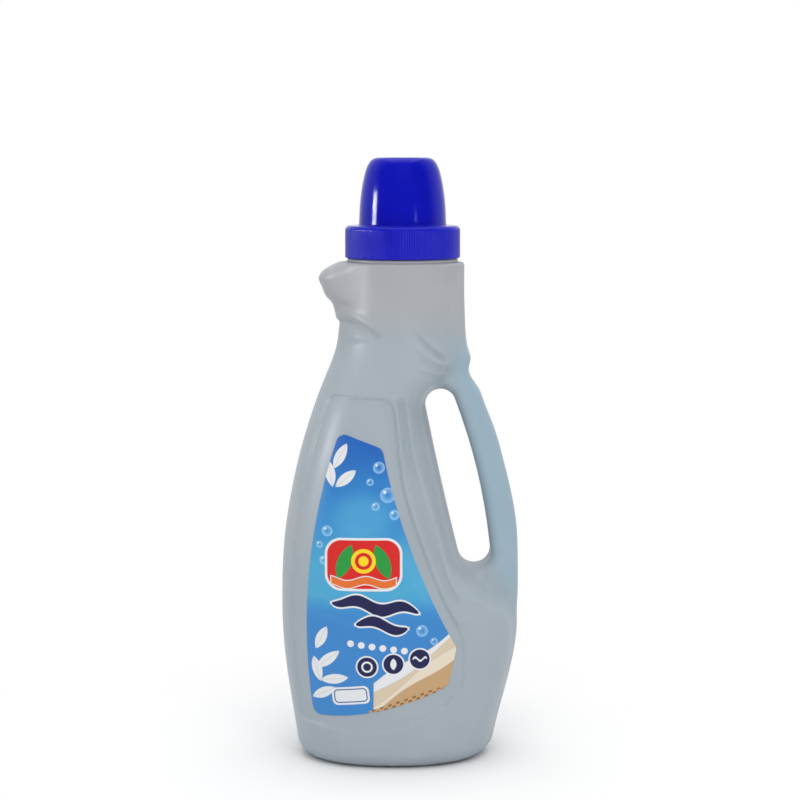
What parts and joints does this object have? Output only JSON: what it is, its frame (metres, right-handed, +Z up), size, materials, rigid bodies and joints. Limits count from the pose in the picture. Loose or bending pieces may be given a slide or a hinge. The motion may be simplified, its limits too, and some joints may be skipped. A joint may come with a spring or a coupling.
{
  "type": "laundry detergent bottle",
  "caption": "Blow-moulded detergent bottle with a side handle, a beaked shoulder, a pour spout and a screw-on dosing cap.",
  "frame": {"origin": "middle of the bottle's outline, on the surface it stands on", "axes": "+Z up; +X towards the handle and -X towards the beak; the front label faces -Y"},
  "size_m": [0.111, 0.0812, 0.28],
  "materials": {
    "bottle_plastic": "satin, pale grey-blue",
    "spout_plastic": "satin",
    "cap_plastic": "gloss, strong blue",
    "liner_foam": "matt foam",
    "front_label_film": "satin printed film",
    "back_label_film": "satin printed film",
    "detergent_liquid": "clear blue liquid"
  },
  "bodies": {
    "bottle_body": {"bottle": "bottle_plastic", "pour_spout": "spout_plastic", "front_label": "front_label_film", "back_label": "back_label_film", "detergent": "detergent_liquid"},
    "liner_body": {"cap_liner": "liner_foam"},
    "cap_body": {"cap": "cap_plastic"}
  },
  "joints": [
    {"name": "cap_lift", "type": "slide", "parent": "bottle_body", "child": "liner_body", "axis": [0, 0, 1], "range_m": [0, 0.04]},
    {"name": "cap_turn", "type": "hinge", "parent": "liner_body", "child": "cap_body", "pos_m": [0.0012, 0, 0.24], "axis": [0, 0, 1], "range_deg": [0, 3420]}
  ],
  "couplings": [
    {"joint": "cap_lift", "follows": "cap_turn", "m_per_rad": 0.00066845}
  ]
}
